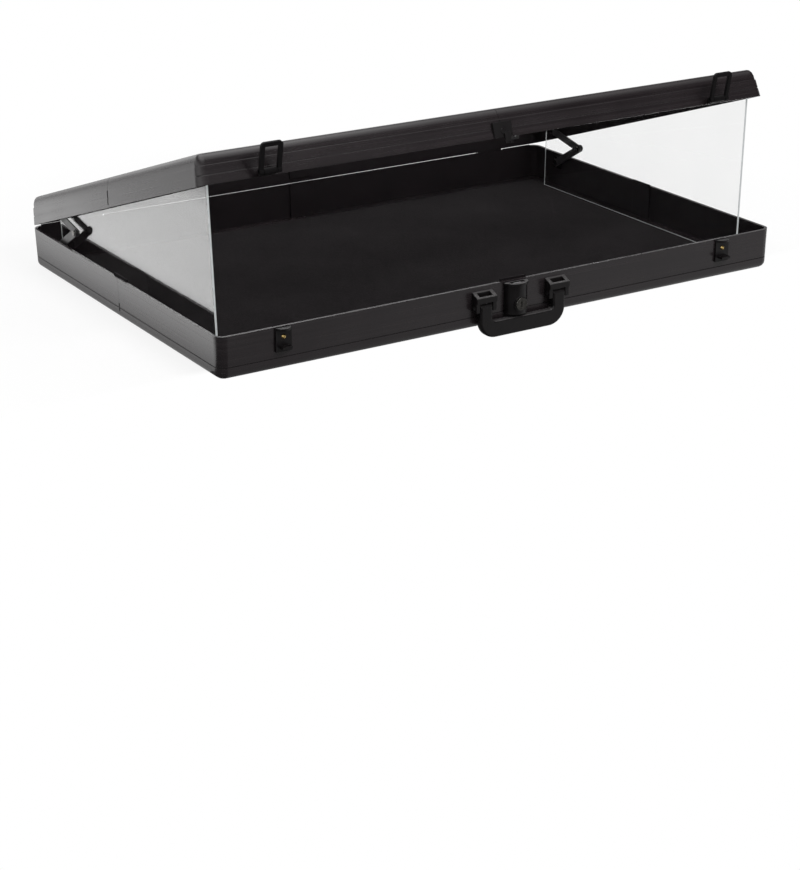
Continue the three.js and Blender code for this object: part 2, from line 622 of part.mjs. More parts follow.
// Latches
const latchY = FRONT - LATCH_PIVOT_OUT;
const bailOpen = BAIL_WIDTH / 2 - BAIL_LEG;
const catchTop = BASE_HEIGHT - CATCH_TOP_GAP;
for (const [name, side] of sides) {
  const centre = side * HARDWARE_X;
  const bracketX = around(centre, LATCH_BRACKET_WIDTH);
  const stubX = around(centre, LATCH_BRACKET_WIDTH + 2 * TRUNNION_LENGTH);
  const bracket = rod('x', LATCH_BOSS_RADIUS, bracketX, latchY, latchZ)
    .add(box(bracketX, [latchY, FRONT + OVERCUT], around(latchZ, 2 * LATCH_BOSS_RADIUS)))
    .add(rod('x', TRUNNION_RADIUS, stubX, latchY, latchZ));
  onLid(`latch_bracket_${name}`, bracket.subtract(lidClear), blackGloss);

  const bail = new THREE.Shape();
  const half = BAIL_WIDTH / 2;
  const top = latchZ + BAIL_REACH;
  const foot = latchZ;
  bail.moveTo(centre - half, foot);
  bail.lineTo(centre - bailOpen, foot);
  bail.lineTo(centre - bailOpen, top - BAIL_BAR);
  bail.lineTo(centre + bailOpen, top - BAIL_BAR);
  bail.lineTo(centre + bailOpen, foot);
  bail.lineTo(centre + half, foot);
  bail.absarc(centre + half - BAIL_CORNER, top - BAIL_CORNER, BAIL_CORNER, 0, Math.PI / 2);
  bail.absarc(centre - half + BAIL_CORNER, top - BAIL_CORNER, BAIL_CORNER, Math.PI / 2, Math.PI);
  const bailX = [centre - half - OVERCUT, centre + half + OVERCUT];
  let bailSolid = alongY(bail, around(latchY, BAIL_THICKNESS));
  for (const end of [-1, 1]) {
    const eye = span(end, bailOpen, half).map((x) => centre + x);
    bailSolid = bailSolid.add(rod('x', LATCH_BOSS_RADIUS, eye, latchY, latchZ));
  }
  bailSolid = bailSolid.subtract(rod('x', TRUNNION_RADIUS + PIVOT_GAP, bailX, latchY, latchZ));
  const leaning = turn(bailSolid, latchY, latchZ, BAIL_LEAN);
  leaning.translate(0, -HINGE_Y, -HINGE_Z);
  leaning.rotateX(radians(-DISPLAY_ANGLE));
  leaning.translate(0, HINGE_Y, HINGE_Z);
  pieces.push({ name: `latch_bail_${name}`, geometry: leaning, look: blackGloss });

  const tab = new THREE.Shape();
  tab.moveTo(centre - CATCH_WIDTH / 2, FRONT + OVERCUT);
  tab.lineTo(centre - CATCH_WIDTH / 2, FRONT - CATCH_TAB_DEPTH + CATCH_WIDTH / 2);
  tab.absarc(centre, FRONT - CATCH_TAB_DEPTH + CATCH_WIDTH / 2, CATCH_WIDTH / 2, Math.PI, 2 * Math.PI);
  tab.lineTo(centre + CATCH_WIDTH / 2, FRONT + OVERCUT);
  const catchX = around(centre, CATCH_WIDTH);
  const noseY = [FRONT - CATCH_NOSE_DEPTH, FRONT + OVERCUT];
  const hole = rod('y', RIVET_SHANK_RADIUS + PIVOT_GAP, [FRONT - CASE_DEPTH, 0], centre, catchRivetZ);
  const holder = box(catchX, [FRONT - CATCH_PLATE, FRONT + OVERCUT], [CATCH_LOW, catchTop])
    .add(alongZ(tab, [catchTop - CATCH_TAB_HEIGHT, catchTop]))
    .add(box(around(centre, CATCH_NOSE_WIDTH), noseY, [noseUnder, noseTop]));
  onBase(`latch_catch_${name}`, holder.subtract(baseClear).subtract(hole), blackGloss);
}

// Carrying handle, hanging from a pin in each bracket
const pivotY = FRONT - HANDLE_PIVOT_OUT;
const legBack = FRONT - HANDLE_WALL_GAP;
const legFront = legBack - HANDLE_LEG_DEPTH;
const gripFoot = HANDLE_PIVOT_Z - HANDLE_DROP;
const gripTop = gripFoot + HANDLE_GRIP_HEIGHT;
const legOuter = HANDLE_SPREAD + HANDLE_LEG_WIDTH / 2;
const legInner = HANDLE_SPREAD - HANDLE_LEG_WIDTH / 2;
const headTop = HANDLE_PIVOT_Z + HANDLE_HEAD_RADIUS;
const bow = new THREE.Shape();
bow.moveTo(-legOuter, headTop);
bow.lineTo(-legOuter, gripFoot + HANDLE_OUTER_RADIUS);
bow.absarc(-legOuter + HANDLE_OUTER_RADIUS, gripFoot + HANDLE_OUTER_RADIUS, HANDLE_OUTER_RADIUS,
  Math.PI, Math.PI * 1.5);
bow.absarc(legOuter - HANDLE_OUTER_RADIUS, gripFoot + HANDLE_OUTER_RADIUS, HANDLE_OUTER_RADIUS,
  Math.PI * 1.5, Math.PI * 2);
bow.lineTo(legOuter, headTop);
bow.lineTo(legInner, headTop);
bow.absarc(legInner - HANDLE_INNER_RADIUS, gripTop + HANDLE_INNER_RADIUS, HANDLE_INNER_RADIUS,
  0, -Math.PI / 2, true);
bow.absarc(-legInner + HANDLE_INNER_RADIUS, gripTop + HANDLE_INNER_RADIUS, HANDLE_INNER_RADIUS,
  -Math.PI / 2, -Math.PI, true);
bow.lineTo(-legInner, headTop);
const bowBlank = alongY(bow, [legFront + HANDLE_EDGE, legBack - HANDLE_EDGE], {
  bevelEnabled: true,
  bevelThickness: HANDLE_EDGE,
  bevelSize: HANDLE_EDGE,
  bevelOffset: -HANDLE_EDGE,
  bevelSegments: EDGE_STEPS,
});
const neck = polygon([
  [legFront - OVERCUT, gripFoot - OVERCUT],
  [legBack + OVERCUT, gripFoot - OVERCUT],
  [legBack + OVERCUT, HANDLE_PIVOT_Z],
  [pivotY + HANDLE_HEAD_RADIUS, HANDLE_PIVOT_Z],
  [pivotY + HANDLE_HEAD_RADIUS / 2, headTop - FIT_GAP],
  [pivotY - HANDLE_HEAD_RADIUS / 2, headTop - FIT_GAP],
  [legFront - FIT_GAP, HANDLE_PIVOT_Z],
  [legFront - OVERCUT, HANDLE_PIVOT_Z],
]);
const handlePinX = HANDLE_LEG_WIDTH / 2 + SIDE_PLAY + BRACKET_CHEEK;
const handleBore = rod('x', HANDLE_PIN_RADIUS + PIVOT_GAP, [-RIGHT, RIGHT], pivotY, HANDLE_PIVOT_Z);
const handle = bowBlank.intersect(alongX(neck, [-RIGHT, RIGHT])).subtract(handleBore)
  .translate([HANDLE_CENTRE, 0, 0]);
onBase('carry_handle', handle, blackGloss);

const bracketOpen = HANDLE_LEG_WIDTH / 2 + SIDE_PLAY;
const bracketFront = FRONT - BRACKET_DEPTH;
const barUnder = HANDLE_PIVOT_Z + (pivotY - legFront) + SIDE_PLAY;
for (const [name, side] of sides) {
  const centre = HANDLE_CENTRE + side * HANDLE_SPREAD;
  const x = around(centre, 2 * handlePinX);
  const collar = polygon([
    [FRONT + OVERCUT, barUnder],
    [FRONT + OVERCUT, BRACKET_TOP_Z],
    [FRONT, BRACKET_TOP_Z],
    [bracketFront, BRACKET_TOP_Z - BRACKET_FALL],
    [bracketFront, barUnder],
  ]);
  const lugY = [FRONT - BRACKET_LUG_DEPTH, FRONT + OVERCUT];
  const lug = box(x, lugY, [HANDLE_PIVOT_Z - BRACKET_LUG_DROP, barUnder + FIT_GAP]);
  const well = box(around(centre, 2 * bracketOpen), [bracketFront + BRACKET_BAR, FRONT - BRACKET_BAR],
    [0, BRACKET_TOP_Z + OVERCUT]);
  const leg = box(around(centre, 2 * bracketOpen), [bracketFront - OVERCUT, FRONT + OVERCUT], [0, barUnder]);
  const bracket = alongX(collar, x)
    .add(lug)
    .subtract(well)
    .subtract(leg)
    .subtract(handleBore)
    .subtract(baseClear);
  onBase(`handle_bracket_${name}`, bracket, blackGloss);
  onBase(`handle_pin_${name}`, rod('x', HANDLE_PIN_RADIUS, x, pivotY, HANDLE_PIVOT_Z), steel);
}

// Key lock on the base: the cylinder's drive pin slides the bolt over the lip of the strike on the lid
const lockTop = BASE_HEIGHT - LOCK_TOP_GAP;
const lockLow = gripTop + LOCK_GRIP_GAP;
const lockZ = BASE_HEIGHT - LOCK_AXIS_DROP;
const lockPlan = (margin) => {
  const shape = new THREE.Shape();
  shape.absellipse(0, FRONT, LOCK_HALF_WIDTH + margin, LOCK_DEPTH + margin, Math.PI, Math.PI * 2);
  shape.lineTo(LOCK_HALF_WIDTH + margin, FRONT + OVERCUT);
  shape.lineTo(-LOCK_HALF_WIDTH - margin, FRONT + OVERCUT);
  return shape;
};
const lockFront = FRONT - LOCK_DEPTH;
const slotBack = FRONT - LOCK_SLOT_START;
const slotFront = slotBack - LOCK_SLOT_DEPTH;
const slotZ = [lockZ - LOCK_SLOT_BELOW, lockTop + OVERCUT];
const slot = box(around(0, 2 * LOCK_SLOT_HALF), [slotFront, slotBack], slotZ);
const lockBore = rod('y', CYLINDER_RADIUS + PIVOT_GAP, [lockFront - OVERCUT, slotBack], 0, lockZ);
const housing = alongZ(lockPlan(0), [lockLow, lockTop])
  .add(alongZ(lockPlan(LOCK_FLANGE_MARGIN), [lockTop - LOCK_FLANGE_HEIGHT, lockTop]))
  .add(rod('y', LOCK_COLLAR_RADIUS, [lockFront, slotFront], 0, lockZ))
  .subtract(baseClear)
  .subtract(slot)
  .subtract(lockBore);
onBase('lock_housing', housing, blackGloss);

const bezelBack = lockFront - FIT_GAP;
const bezelFront = bezelBack - BEZEL_HEIGHT;
const cylinderBack = slotFront + FIT_GAP;
const boltY = [cylinderBack + FIT_GAP, cylinderBack + FIT_GAP + BOLT_THICKNESS];
const driveX = DRIVE_THROW * Math.cos(radians(DRIVE_ANGLE));
const driveZ = lockZ + DRIVE_THROW * Math.sin(radians(DRIVE_ANGLE));
const keyhole = box(around(0, KEYHOLE_WIDTH), [bezelFront - OVERCUT, bezelFront + KEYHOLE_DEPTH],
  around(lockZ, KEYHOLE_HEIGHT));
const cylinder = rod('y', CYLINDER_RADIUS, [bezelBack, cylinderBack], 0, lockZ)
  .add(rod('y', BEZEL_RADIUS, [bezelFront, bezelBack], 0, lockZ))
  .add(rod('y', DRIVE_PIN_RADIUS, [cylinderBack - FIT_GAP, boltY[1]], driveX, driveZ))
  .subtract(keyhole);
onBase('lock_cylinder', cylinder, brass);

const boltTop = lockTop - BOLT_TOP_GAP;
const boltFoot = lockZ - BOLT_TAIL_DROP;
const boltPlan = polygon([
  [BOLT_LEFT, boltFoot],
  [BOLT_LEFT + BOLT_TAIL_WIDTH, boltFoot],
  [BOLT_LEFT + BOLT_TAIL_WIDTH, boltFoot + BOLT_TAIL_HEIGHT],
  [BOLT_LEFT + BOLT_NECK_WIDTH, boltFoot + BOLT_TAIL_HEIGHT],
  [BOLT_LEFT + BOLT_NECK_WIDTH, boltTop - BOLT_HEAD_HEIGHT],
  [BOLT_LEFT + BOLT_HEAD_WIDTH, boltTop - BOLT_HEAD_HEIGHT],
  [BOLT_LEFT + BOLT_HEAD_WIDTH, boltTop],
  [BOLT_LEFT, boltTop],
]);
const driveRoom = DRIVE_PIN_RADIUS + DRIVE_PLAY;
const driveSlot = box(around(driveX, 2 * driveRoom), [boltY[0] - OVERCUT, boltY[1] + OVERCUT],
  [driveZ - driveRoom, lockZ + DRIVE_THROW + driveRoom]);
onBase('lock_bolt', alongY(boltPlan, boltY).subtract(driveSlot), steel);

const strikeBack = slotBack - SIDE_PLAY;
const strikeY = [strikeBack - STRIKE_THICKNESS, strikeBack];
const strikeFoot = LID_BOTTOM - STRIKE_DROP;
const strikeLow = LID_BOTTOM + FIT_GAP;
const plateZ = [strikeLow, LID_BOTTOM + STRIKE_PLATE_HEIGHT];
const rootZ = [strikeLow, LID_BOTTOM + STRIKE_ROOT_HEIGHT];
const tongueX = [0, STRIKE_TONGUE_WIDTH];
const lipX = [STRIKE_TONGUE_WIDTH - STRIKE_LIP_WIDTH, STRIKE_TONGUE_WIDTH];
const bossY = [FRONT - STRIKE_PLATE - STRIKE_BOSS_HEIGHT, FRONT];
const strike = box(around(0, STRIKE_WIDTH), [FRONT - STRIKE_PLATE, FRONT + OVERCUT], plateZ)
  .add(rod('y', STRIKE_BOSS_RADIUS, bossY, 0, LID_BOTTOM + STRIKE_BOSS_RISE))
  .add(box(tongueX, [strikeY[0], FRONT + OVERCUT], rootZ))
  .subtract(lidClear)
  .add(box(tongueX, strikeY, [strikeFoot, rootZ[1]]))
  .add(box(lipX, [boltY[0], strikeY[1]], [strikeFoot, strikeFoot + STRIKE_LIP_HEIGHT]));
onLid('lock_strike', strike, blackGloss);

// Folding stays beside the side walls, links apart in X and pinned at the elbow
const stayArm = (angle) => [
  -STAY_LINK_LENGTH * Math.cos(radians(angle)),
  STAY_LINK_LENGTH * Math.sin(radians(angle)),
];
const toBase = stayArm(-STAY_PIVOT_ANGLE);
const toLid = stayArm(STAY_PIVOT_ANGLE + DISPLAY_ANGLE);
const toLidShut = stayArm(STAY_PIVOT_ANGLE);
const basePivot = [HINGE_Y + toBase[0], HINGE_Z + toBase[1]];
const lidPivot = [HINGE_Y + toLid[0], HINGE_Z + toLid[1]];
const lidPivotShut = [HINGE_Y + toLidShut[0], HINGE_Z + toLidShut[1]];
const elbow = [basePivot[0] + toLid[0], basePivot[1] + toLid[1]];

const link = (from, to, x) => {
  const [dy, dz] = [to[0] - from[0], to[1] - from[1]];
  const half = STAY_LINK_WIDTH / 2 / Math.hypot(dy, dz);
  const [ny, nz] = [-dz * half, dy * half];
  const bar = polygon([
    [from[0] + ny, from[1] + nz],
    [from[0] - ny, from[1] - nz],
    [to[0] - ny, to[1] - nz],
    [to[0] + ny, to[1] + nz],
  ]);
  const through = [x[0] - OVERCUT, x[1] + OVERCUT];
  return alongX(bar, x)
    .add(rod('x', STAY_LINK_WIDTH / 2, x, from[0], from[1]))
    .add(rod('x', STAY_LINK_WIDTH / 2, x, to[0], to[1]))
    .subtract(rod('x', STAY_STUD_RADIUS + PIVOT_GAP, through, from[0], from[1]))
    .subtract(rod('x', ELBOW_SHANK_RADIUS + PIVOT_GAP, through, to[0], to[1]));
};

const innerWall = RIGHT - BASE_WALL;
const lowerOut = innerWall - STAY_WALL_OFFSET;
const lowerIn = lowerOut - STAY_LINK_THICKNESS;
const upperOut = lowerOut - STAY_LINK_SPACING;
const upperIn = upperOut - STAY_LINK_THICKNESS;
for (const [name, side] of sides) {
  const at = (inner, outer) => span(side, inner, outer);
  onBase(`stay_lower_link_${name}`, link(basePivot, elbow, at(lowerIn, lowerOut)), blackGloss);
  onBase(`stay_upper_link_${name}`, link(lidPivot, elbow, at(upperIn, upperOut)), blackGloss);

  const shankEnds = [upperIn - FIT_GAP, lowerOut + FIT_GAP];
  const elbowRivet = rod('x', ELBOW_SHANK_RADIUS, at(...shankEnds), ...elbow)
    .add(rod('x', ELBOW_HEAD_RADIUS, at(shankEnds[0] - STAY_HEAD_HEIGHT, shankEnds[0]), ...elbow))
    .add(rod('x', ELBOW_HEAD_RADIUS, at(shankEnds[1], shankEnds[1] + STAY_HEAD_HEIGHT), ...elbow));
  onBase(`stay_elbow_rivet_${name}`, elbowRivet, steel);

  const plateY = around(basePivot[0], STAY_PLATE_SIZE);
  const plateX = at(innerWall - FIT_GAP - STAY_PLATE_THICKNESS, innerWall - FIT_GAP);
  const headX = at(lowerIn - FIT_GAP - STAY_HEAD_HEIGHT, lowerIn - FIT_GAP);
  const baseStud = box(plateX, plateY, around(basePivot[1], STAY_PLATE_SIZE))
    .add(rod('x', STAY_HEAD_RADIUS, at(lowerOut + FIT_GAP, innerWall - FIT_GAP), ...basePivot))
    .add(rod('x', STAY_STUD_RADIUS, at(lowerIn - FIT_GAP, innerWall - FIT_GAP), ...basePivot))
    .add(rod('x', STAY_HEAD_RADIUS, headX, ...basePivot));
  onBase(`stay_base_pivot_${name}`, baseStud, steel);

  const lidPlateX = at(upperOut + FIT_GAP + STAY_PLATE_THICKNESS, RIGHT);
  const lidHeadX = at(upperIn - FIT_GAP - STAY_HEAD_HEIGHT, upperIn - FIT_GAP);
  const lidPlateY = around(lidPivotShut[0], STAY_PLATE_SIZE);
  const lidStud = box(lidPlateX, lidPlateY, around(lidPivotShut[1], STAY_PLATE_SIZE))
    .add(rod('x', STAY_HEAD_RADIUS, at(upperOut + FIT_GAP, RIGHT), ...lidPivotShut))
    .intersect(lidHollow(FIT_GAP))
    .add(rod('x', STAY_STUD_RADIUS, at(upperIn - FIT_GAP, upperOut + 2 * FIT_GAP), ...lidPivotShut))
    .add(rod('x', STAY_HEAD_RADIUS, lidHeadX, ...lidPivotShut));
  onLid(`stay_lid_pivot_${name}`, lidStud, steel);
}

// Screws in the rear face of the lid, and the clips that they hold under the pane
for (const [name, side] of sides) {
  const centre = side * screwX;
  const seat = REAR - LID_DRAFT * SCREW_RISE / (LID_HEIGHT - LID_CROWN_HEIGHT) + 2 * FIT_GAP;
  const headEnd = seat + SCREW_HEAD_HEIGHT;
  const slotX = around(centre, 2 * (SCREW_HEAD_RADIUS + OVERCUT));
  const slotY = [headEnd - SCREW_SLOT_DEPTH, headEnd + OVERCUT];
  const screw = rod('y', SCREW_HEAD_RADIUS, [seat, headEnd], centre, screwZ)
    .subtract(lidClear)
    .add(rod('y', SCREW_SHANK_RADIUS, [seat - SCREW_LENGTH, seat + FIT_GAP], centre, screwZ))
    .subtract(box(slotX, slotY, around(screwZ, SCREW_SLOT_WIDTH)));
  onLid(`lid_screw_${name}`, screw, steel);

  const clipZ = [LID_BOTTOM + CLIP_LOW, tabTop];
  const ledge = slab(LID_INNER_TOP + FIT_GAP, tabZ).subtract(slab(CLIP_REACH, tabZ));
  const clipCut = box(around(centre, CLIP_WIDTH), [0, REAR], clipZ);
  const clip = lidHollow(FIT_GAP)
    .subtract(lidHollow(FIT_GAP + CLIP_THICKNESS))
    .add(ledge)
    .intersect(clipCut)
    .subtract(rod('y', SCREW_SHANK_RADIUS + PIVOT_GAP, [0, REAR], centre, screwZ));
  onLid(`pane_clip_${name}`, clip, steel);
}

const part = new THREE.Group();
for (const { name, geometry, look } of pieces) {
  const mesh = new THREE.Mesh(geometry, new THREE.MeshStandardMaterial(look));
  mesh.name = name;
  part.add(mesh);
}

export default part;
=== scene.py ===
# Looks of the card display case: finishes, rounded edges, camera, table and studio light.
import math
from collections import namedtuple

import bmesh
import bpy
from mathutils import Matrix, Vector


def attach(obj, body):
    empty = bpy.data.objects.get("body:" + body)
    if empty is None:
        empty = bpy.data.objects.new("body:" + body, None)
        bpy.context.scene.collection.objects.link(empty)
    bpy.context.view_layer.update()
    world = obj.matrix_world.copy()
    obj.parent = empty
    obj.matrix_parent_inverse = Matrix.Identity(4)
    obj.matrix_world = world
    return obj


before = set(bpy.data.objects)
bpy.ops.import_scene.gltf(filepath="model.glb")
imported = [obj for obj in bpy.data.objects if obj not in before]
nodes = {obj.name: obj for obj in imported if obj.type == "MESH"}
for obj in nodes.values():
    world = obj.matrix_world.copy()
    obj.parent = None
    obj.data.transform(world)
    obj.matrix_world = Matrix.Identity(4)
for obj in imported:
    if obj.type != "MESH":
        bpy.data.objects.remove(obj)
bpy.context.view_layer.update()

# Lengths are in metres and angles in degrees
CASE_WIDTH = 0.864
CASE_DEPTH = 0.572
LID_TILT = 18.4

SIDES = ("left", "right")
ENDS = ("front", "rear")


def pair(stem):
    return [f"{stem}_{side}" for side in SIDES]


def corners(stem):
    return [f"{stem}_corner_{end}_{side}" for end in ENDS for side in SIDES]


def joiners(stem):
    return [f"{stem}_joiner_{end}" for end in ENDS + SIDES]


SHEETS = ["lid_pane"] + pair("side_panel")


# Shader helpers. A fade leads from one level to another between two places.
Fade = namedtuple("Fade", "start end before after")
MIDDLE_OF_NOISE = (0.3, 0.7)


def new_material(name):
    material = bpy.data.materials.new(name)
    material.use_nodes = True
    return material, material.node_tree, material.node_tree.nodes["Principled BSDF"]


def constants(shader, **values):
    for name, value in values.items():
        shader.inputs[name.replace("_", " ")].default_value = value


def coordinates(tree, stretch=(1, 1, 1), tilt=0.0):
    place = tree.nodes.new("ShaderNodeTexCoord")
    mapping = tree.nodes.new("ShaderNodeMapping")
    mapping.vector_type = "TEXTURE"
    mapping.inputs["Rotation"].default_value = (math.radians(-tilt), 0, 0)
    mapping.inputs["Scale"].default_value = [1 / part for part in stretch]
    tree.links.new(place.outputs["Object"], mapping.inputs["Vector"])
    return mapping.outputs["Vector"]


def noise(tree, size, detail, stretch=(1, 1, 1), tilt=0.0):
    texture = tree.nodes.new("ShaderNodeTexNoise")
    texture.inputs["Scale"].default_value = 1 / size
    texture.inputs["Detail"].default_value = detail
    tree.links.new(coordinates(tree, stretch, tilt), texture.inputs["Vector"])
    return texture.outputs[0]


def faded(tree, value, fade):
    node = tree.nodes.new("ShaderNodeMapRange")
    node.inputs["From Min"].default_value = fade.start
    node.inputs["From Max"].default_value = fade.end
    node.inputs["To Min"].default_value = fade.before
    node.inputs["To Max"].default_value = fade.after
    tree.links.new(value, node.inputs["Value"])
    return node.outputs["Result"]


def calculate(tree, operation, first, second):
    node = tree.nodes.new("ShaderNodeMath")
    node.operation = operation
    for socket, value in zip(node.inputs, (first, second)):
        if isinstance(value, (int, float)):
            socket.default_value = value
        else:
            tree.links.new(value, socket)
    return node.outputs["Value"]


def plus(tree, first, second):
    return calculate(tree, "ADD", first, second)


def minus(tree, first, second):
    return calculate(tree, "SUBTRACT", first, second)


def times(tree, first, second):
    return calculate(tree, "MULTIPLY", first, second)


def blend(tree, first, second, share):
    return plus(tree, times(tree, first, share), times(tree, second, 1 - share))


def paint(tree, shader, value, colours):
    node = tree.nodes.new("ShaderNodeValToRGB")
    for element, place, colour in zip(node.color_ramp.elements, MIDDLE_OF_NOISE, colours):
        element.position = place
        element.color = (*colour, 1)
    tree.links.new(value, node.inputs["Fac"])
    tree.links.new(node.outputs["Color"], shader.inputs["Base Color"])


def roughen(tree, shader, value, smooth, rough, band=MIDDLE_OF_NOISE):
    tree.links.new(faded(tree, value, Fade(*band, smooth, rough)), shader.inputs["Roughness"])


def bump(tree, shader, height, depth, strength):
    node = tree.nodes.new("ShaderNodeBump")
    node.inputs["Strength"].default_value = strength
    node.inputs["Distance"].default_value = depth
    tree.links.new(height, node.inputs["Height"])
    tree.links.new(node.outputs["Normal"], shader.inputs["Normal"])


# Finishes, each with its darkest and its lightest colour
MOULDED_COLOURS = ((0.0108, 0.0082, 0.0092), (0.0205, 0.0162, 0.0178))
INNER_SHADE_COLOURS = ((0.0042, 0.0032, 0.0037), (0.0066, 0.005, 0.0057))
FELT_COLOURS = ((0.0058, 0.0048, 0.0053), (0.0135, 0.0117, 0.0125))
BOARD_COLOURS = ((0.009, 0.0085, 0.009), (0.019, 0.018, 0.0185))
ACRYLIC_COLOURS = ((0.975, 0.98, 0.978), (0.998, 1.0, 0.998))
SAWN_COLOURS = ((0.3, 0.32, 0.32), (0.5, 0.52, 0.52))
BRASS_COLOURS = ((0.62, 0.43, 0.15), (0.8, 0.6, 0.27))
STEEL_COLOURS = ((0.5, 0.5, 0.51), (0.68, 0.68, 0.69))
GUNMETAL_COLOURS = ((0.04, 0.038, 0.036), (0.09, 0.086, 0.08))
NICKEL_COLOURS = ((0.24, 0.23, 0.21), (0.36, 0.35, 0.33))
HARDWARE_COLOUR = (0.0072, 0.0061, 0.0066)
COATED_COLOUR = (0.012, 0.0112, 0.0116)
# Paler black for faces that catch the light: painted highlight
PAINTED_LIGHT_COLOUR = (0.042, 0.039, 0.04)
BAIL_COLOUR = (0.0065, 0.0058, 0.0062)
DARKER_SHARE = 0.75
BLACK_ROUGHNESS_SPAN = 0.12
METAL_ROUGHNESS_SPAN = 0.15

ACRYLIC_IOR = 1.49
# Painted glow of the sawn edges, strongest at the front
PAINTED_EDGE_GLOW = Fade(-0.23, -0.2, 0.28, 0.02)
PAINTED_EDGE_GLOW_COLOUR = (0.9, 0.95, 0.95, 1)


def moulded_black(name, tilt):
    material, tree, shader = new_material(name)
    streak = noise(tree, size=0.004, detail=3, stretch=(0.012, 0.012, 1), tilt=tilt)
    cloud = noise(tree, size=0.07, detail=3)
    mottle = blend(tree, streak, cloud, share=0.6)
    paint(tree, shader, mottle, MOULDED_COLOURS)
    roughen(tree, shader, mottle, smooth=0.2, rough=0.32)
    bump(tree, shader, noise(tree, size=0.0007, detail=2), depth=0.00005, strength=0.3)
    constants(shader, Specular_IOR_Level=0.55)
    return material


def smooth_black(name, colour, smooth, gloss=0.5):
    material, tree, shader = new_material(name)
    cloud = noise(tree, size=0.012, detail=3)
    paint(tree, shader, cloud, ([DARKER_SHARE * part for part in colour], colour))
    roughen(tree, shader, cloud, smooth=smooth, rough=smooth + BLACK_ROUGHNESS_SPAN)
    bump(tree, shader, noise(tree, size=0.0009, detail=2), depth=0.00003, strength=0.4)
    constants(shader, Specular_IOR_Level=gloss)
    return material


# Matt finish of the insides; its darker colour is painted shade
def inner_shade_black():
    material, tree, shader = new_material("inner_shade_black")
    cloud = noise(tree, size=0.03, detail=3)
    paint(tree, shader, cloud, INNER_SHADE_COLOURS)
    roughen(tree, shader, cloud, smooth=0.6, rough=0.8)
    bump(tree, shader, noise(tree, size=0.0007, detail=2), depth=0.00006, strength=0.5)
    constants(shader, Specular_IOR_Level=0.12)
    return material


def felt_black():
    material, tree, shader = new_material("felt_black")
    fibre = noise(tree, size=0.0016, detail=4, stretch=(1, 0.35, 1))
    cloud = noise(tree, size=0.11, detail=2)
    paint(tree, shader, blend(tree, fibre, cloud, share=0.55), FELT_COLOURS)
    bump(tree, shader, fibre, depth=0.0006, strength=0.7)
    constants(shader, Roughness=0.95, Specular_IOR_Level=0.0, Sheen_Weight=0.02, Sheen_Roughness=0.6)
    return material


def board_black():
    material, tree, shader = new_material("board_black")
    fibre = noise(tree, size=0.003, detail=4, stretch=(1, 0.3, 1))
    paint(tree, shader, fibre, BOARD_COLOURS)
    roughen(tree, shader, fibre, smooth=0.6, rough=0.8)
    bump(tree, shader, fibre, depth=0.0003, strength=0.6)
    return material


def clear_acrylic():
    material, tree, shader = new_material("clear_acrylic")
    smear = noise(tree, size=0.09, detail=4, stretch=(1, 1, 0.5))
    paint(tree, shader, smear, ACRYLIC_COLOURS)
    roughen(tree, shader, smear, smooth=0.0, rough=0.004, band=(0.5, 0.8))
    constants(shader, Transmission_Weight=1.0, IOR=ACRYLIC_IOR)
    return material


# Sawn edges with a painted glow, which stands in for the light that they collect, most at the front
def acrylic_edge():
    material, tree, shader = new_material("acrylic_edge")
    saw = noise(tree, size=0.0012, detail=3, stretch=(1, 1, 0.2))
    paint(tree, shader, saw, SAWN_COLOURS)
    roughen(tree, shader, saw, smooth=0.25, rough=0.45)
    bump(tree, shader, saw, depth=0.0001, strength=0.4)
    split = tree.nodes.new("ShaderNodeSeparateXYZ")
    tree.links.new(coordinates(tree), split.inputs["Vector"])
    tree.links.new(faded(tree, split.outputs["Y"], PAINTED_EDGE_GLOW), shader.inputs["Emission Strength"])
    constants(shader, Transmission_Weight=0.35, IOR=ACRYLIC_IOR, Emission_Color=PAINTED_EDGE_GLOW_COLOUR)
    return material


def plated_metal(name, colours, smooth):
    material, tree, shader = new_material(name)
    wear = noise(tree, size=0.004, detail=4)
    paint(tree, shader, wear, colours)
    roughen(tree, shader, wear, smooth=smooth, rough=smooth + METAL_ROUGHNESS_SPAN)
    scratch = noise(tree, size=0.0008, detail=2, stretch=(0.15, 1, 1))
    bump(tree, shader, scratch, depth=0.00003, strength=0.4)
    constants(shader, Metallic=1.0)
    return material


base_black = moulded_black("moulded_black_base", tilt=0.0)
lid_black = moulded_black("moulded_black_lid", tilt=LID_TILT)
inner = inner_shade_black()
hardware_black = smooth_black("hardware_black", HARDWARE_COLOUR, smooth=0.26, gloss=0.28)
coated_black = smooth_black("coated_black", COATED_COLOUR, smooth=0.38)
painted_light_black = smooth_black("painted_light_black", PAINTED_LIGHT_COLOUR, smooth=0.4)
bail_black = smooth_black("bail_black", BAIL_COLOUR, smooth=0.5, gloss=0.1)
felt = felt_black()
board = board_black()
acrylic = clear_acrylic()
frosted_with_painted_glow = acrylic_edge()
brass = plated_metal("bright_brass", BRASS_COLOURS, smooth=0.2)
steel = plated_metal("zinc_steel", STEEL_COLOURS, smooth=0.26)
gunmetal = plated_metal("gunmetal", GUNMETAL_COLOURS, smooth=0.16)
nickel = plated_metal("worn_nickel", NICKEL_COLOURS, smooth=0.12)


# CAD pieces: joined facets, rounded edges and smooth shading
SAME_POINT = 0.00001
SAME_PLANE_ANGLE = 0.5
EDGE_ANGLE = 35

HAIR_EDGE = 0.0003
THIN_EDGE = 0.0004
MOULDED_EDGE = 0.0006
LATCH_EDGE = 0.0007
CAST_EDGE = 0.0008
BRACKET_EDGE = 0.0011
BAIL_EDGE = 0.0012
PLAIN_ROUNDING = 2
FINE_ROUNDING = 3


